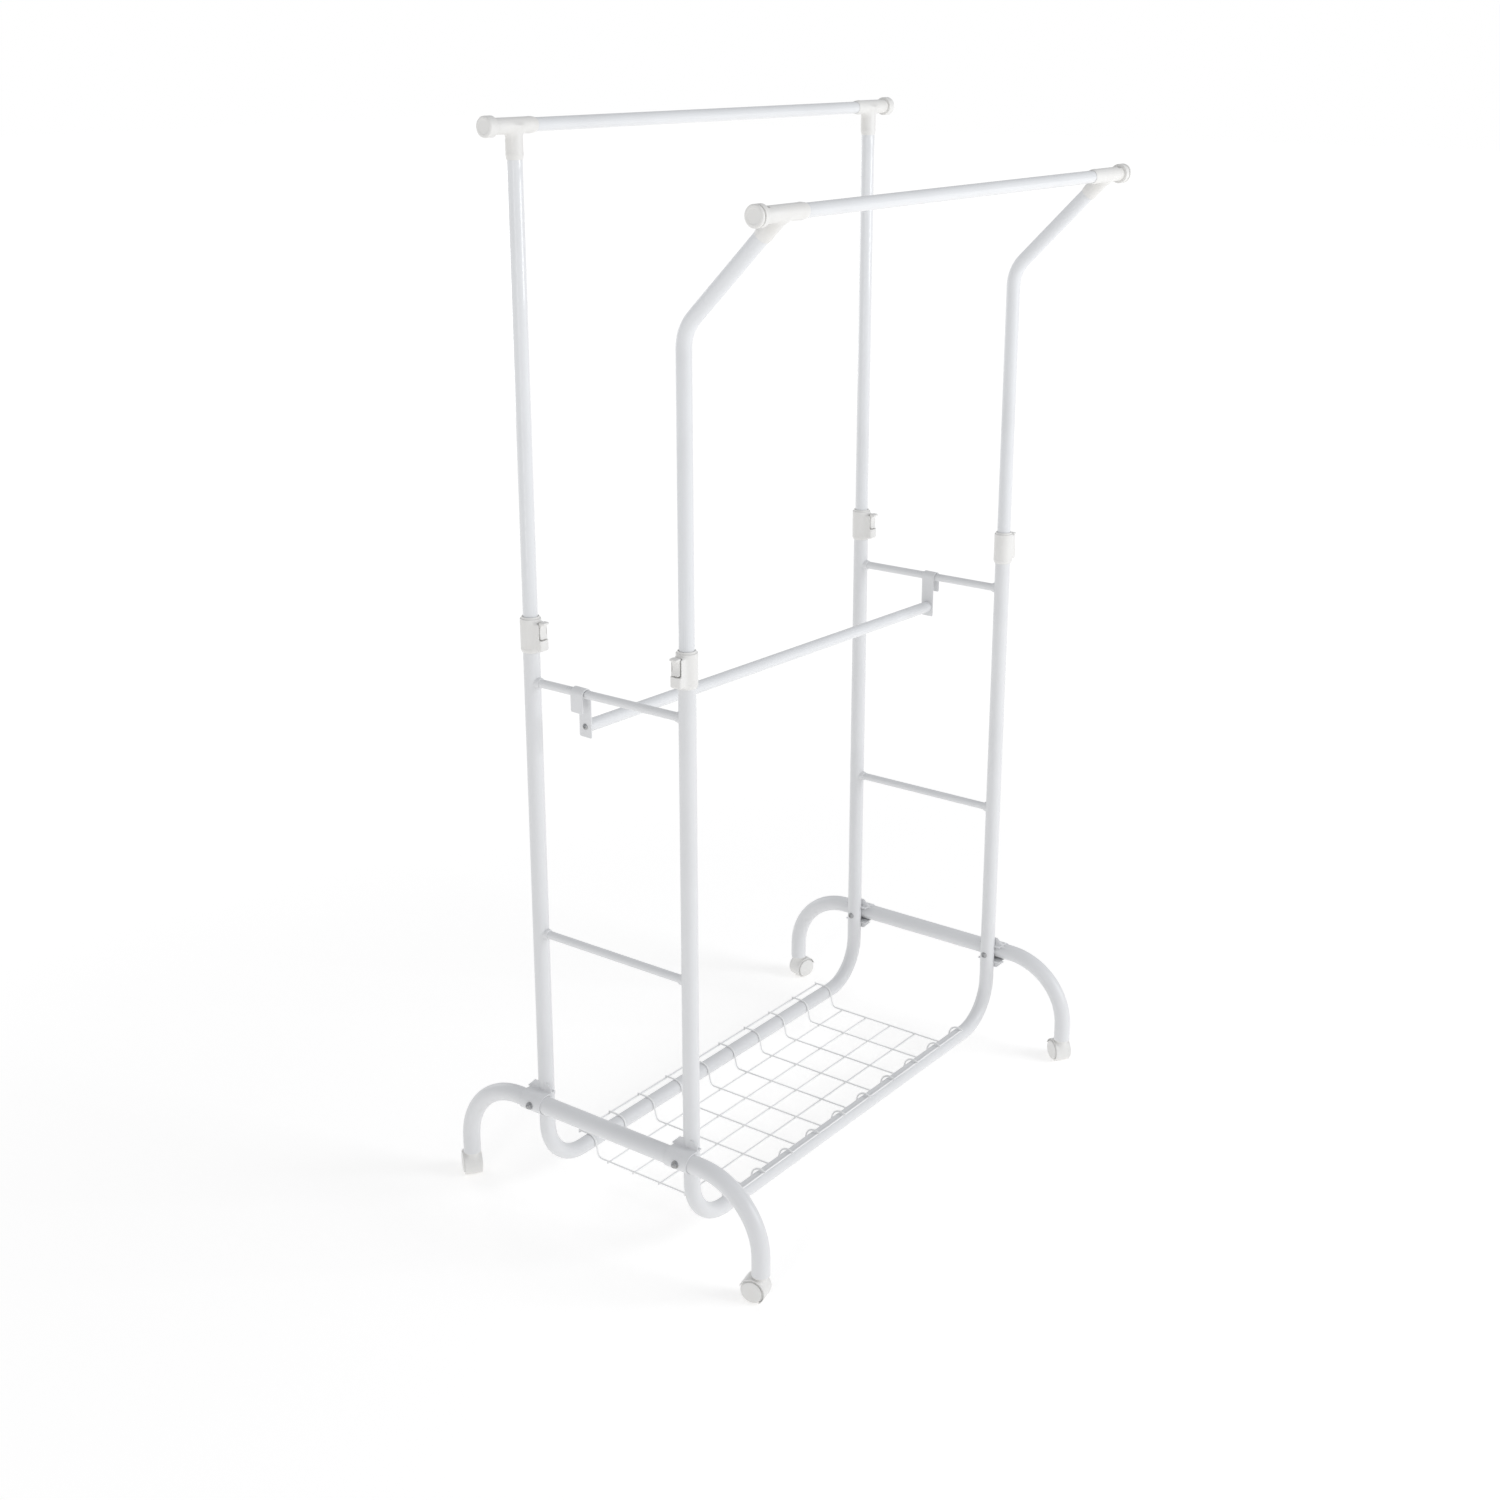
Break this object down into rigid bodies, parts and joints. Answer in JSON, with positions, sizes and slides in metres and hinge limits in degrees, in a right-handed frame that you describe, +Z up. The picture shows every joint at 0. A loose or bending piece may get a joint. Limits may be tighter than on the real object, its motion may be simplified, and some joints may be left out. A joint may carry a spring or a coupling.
{
  "type": "rolling clothes rack",
  "caption": "Two-rail rolling garment rack of white tube: telescoping posts, forward-leaning front rail, hook-on cross bar, wire shelf and swivel casters on arched legs.",
  "frame": {"origin": "on the floor, under the middle of the rack's bounding box", "axes": "+Z up; +X to the right along the rails, seen from the front; -Y is the front, where the lower, forward-leaning rail is"},
  "size_m": [0.98, 0.6372, 1.6603],
  "materials": {
    "white_powder_coat": "satin powder coat",
    "white_wire_coat": "satin powder coat",
    "white_plastic": "fine matt moulding",
    "caster_plastic": "semi-gloss moulding",
    "zinc_plated_steel": "bright zinc plating"
  },
  "bodies": {
    "base": {"rear_u_tube": "white_powder_coat", "front_u_tube": "white_powder_coat", "left_leg_tube": "white_powder_coat", "right_leg_tube": "white_powder_coat", "left_lower_rung": "white_powder_coat", "left_upper_rung": "white_powder_coat", "right_lower_rung": "white_powder_coat", "right_upper_rung": "white_powder_coat", "rung_collars": "white_powder_coat", "front_left_bracket": "white_powder_coat", "rear_left_bracket": "white_powder_coat", "front_right_bracket": "white_powder_coat", "rear_right_bracket": "white_powder_coat", "front_left_lock_collar": "white_plastic", "rear_left_lock_collar": "white_plastic", "front_right_lock_collar": "white_plastic", "rear_right_lock_collar": "white_plastic", "frame_bolts": "zinc_plated_steel", "frame_dome_nuts": "zinc_plated_steel", "shelf_cross_wires": "white_wire_coat", "shelf_long_wires": "white_wire_coat", "caster_sockets": "white_plastic"},
    "rear_upper_frame": {"rear_left_upper_post": "white_powder_coat", "rear_right_upper_post": "white_powder_coat", "rear_rail": "white_powder_coat", "rear_left_tee": "white_plastic", "rear_right_tee": "white_plastic", "rear_end_caps": "white_plastic"},
    "front_upper_frame": {"front_left_upper_post": "white_powder_coat", "front_right_upper_post": "white_powder_coat", "front_rail": "white_powder_coat", "front_left_tee": "white_plastic", "front_right_tee": "white_plastic", "front_end_rings": "white_plastic", "front_end_caps": "white_plastic"},
    "cross_bar": {"cross_bar_tube": "white_powder_coat", "cross_bar_plugs": "white_plastic", "left_hook": "white_powder_coat", "right_hook": "white_powder_coat", "hook_screws": "zinc_plated_steel"},
    "front_left_lock_button_body": {"front_left_lock_button": "white_plastic"},
    "rear_left_lock_button_body": {"rear_left_lock_button": "white_plastic"},
    "front_right_lock_button_body": {"front_right_lock_button": "white_plastic"},
    "rear_right_lock_button_body": {"rear_right_lock_button": "white_plastic"},
    "front_left_caster": {"front_left_caster_hood": "caster_plastic", "front_left_caster_stem": "zinc_plated_steel"},
    "front_left_wheel_set": {"front_left_caster_wheels": "caster_plastic", "front_left_caster_axle": "zinc_plated_steel"},
    "rear_left_caster": {"rear_left_caster_hood": "caster_plastic", "rear_left_caster_stem": "zinc_plated_steel"},
    "rear_left_wheel_set": {"rear_left_caster_wheels": "caster_plastic", "rear_left_caster_axle": "zinc_plated_steel"},
    "front_right_caster": {"front_right_caster_hood": "caster_plastic", "front_right_caster_stem": "zinc_plated_steel"},
    "front_right_wheel_set": {"front_right_caster_wheels": "caster_plastic", "front_right_caster_axle": "zinc_plated_steel"},
    "rear_right_caster": {"rear_right_caster_hood": "caster_plastic", "rear_right_caster_stem": "zinc_plated_steel"},
    "rear_right_wheel_set": {"rear_right_caster_wheels": "caster_plastic", "rear_right_caster_axle": "zinc_plated_steel"}
  },
  "joints": [
    {"name": "rear_frame_height", "type": "slide", "parent": "base", "child": "rear_upper_frame", "axis": [0, 0, 1], "range_m": [-0.55, 0.05]},
    {"name": "front_frame_height", "type": "slide", "parent": "base", "child": "front_upper_frame", "axis": [0, 0, 1], "range_m": [-0.4, 0.05]},
    {"name": "cross_bar_slide", "type": "slide", "parent": "base", "child": "cross_bar", "axis": [0, 1, 0], "range_m": [-0.11, 0.061]},
    {"name": "front_left_lock_button_press", "type": "slide", "parent": "base", "child": "front_left_lock_button_body", "axis": [1, 0, 0], "range_m": [0, 0.0025], "stiffness_N_per_m": 300, "springref_m": -0.002},
    {"name": "rear_left_lock_button_press", "type": "slide", "parent": "base", "child": "rear_left_lock_button_body", "axis": [0, 1, 0], "range_m": [0, 0.0025], "stiffness_N_per_m": 300, "springref_m": -0.002},
    {"name": "front_right_lock_button_press", "type": "slide", "parent": "base", "child": "front_right_lock_button_body", "axis": [-1, 0, 0], "range_m": [0, 0.0025], "stiffness_N_per_m": 300, "springref_m": -0.002},
    {"name": "rear_right_lock_button_press", "type": "slide", "parent": "base", "child": "rear_right_lock_button_body", "axis": [0, 1, 0], "range_m": [0, 0.0025], "stiffness_N_per_m": 300, "springref_m": -0.002},
    {"name": "front_left_caster_swivel", "type": "hinge", "parent": "base", "child": "front_left_caster", "pos_m": [-0.4555, -0.2932, 0.06], "axis": [0, 0, 1], "continuous": true},
    {"name": "front_left_wheel_roll", "type": "hinge", "parent": "front_left_caster", "child": "front_left_wheel_set", "pos_m": [-0.45753, -0.28443, 0.0185], "axis": [-0.9744, -0.225, 0], "continuous": true},
    {"name": "rear_left_caster_swivel", "type": "hinge", "parent": "base", "child": "rear_left_caster", "pos_m": [-0.4555, 0.2868, 0.06], "axis": [0, 0, 1], "continuous": true},
    {"name": "rear_left_wheel_roll", "type": "hinge", "parent": "rear_left_caster", "child": "rear_left_wheel_set", "pos_m": [-0.45008, 0.29399, 0.0185], "axis": [-0.7986, 0.6018, 0], "continuous": true},
    {"name": "front_right_caster_swivel", "type": "hinge", "parent": "base", "child": "front_right_caster", "pos_m": [0.4555, -0.2932, 0.06], "axis": [0, 0, 1], "continuous": true},
    {"name": "front_right_wheel_roll", "type": "hinge", "parent": "front_right_caster", "child": "front_right_wheel_set", "pos_m": [0.46053, -0.28574, 0.0185], "axis": [-0.829, 0.5592, 0], "continuous": true},
    {"name": "rear_right_caster_swivel", "type": "hinge", "parent": "base", "child": "rear_right_caster", "pos_m": [0.4555, 0.2868, 0.06], "axis": [0, 0, 1], "continuous": true},
    {"name": "rear_right_wheel_roll", "type": "hinge", "parent": "rear_right_caster", "child": "rear_right_wheel_set", "pos_m": [0.46411, 0.28417, 0.0185], "axis": [0.2924, 0.9563, 0], "continuous": true}
  ]
}
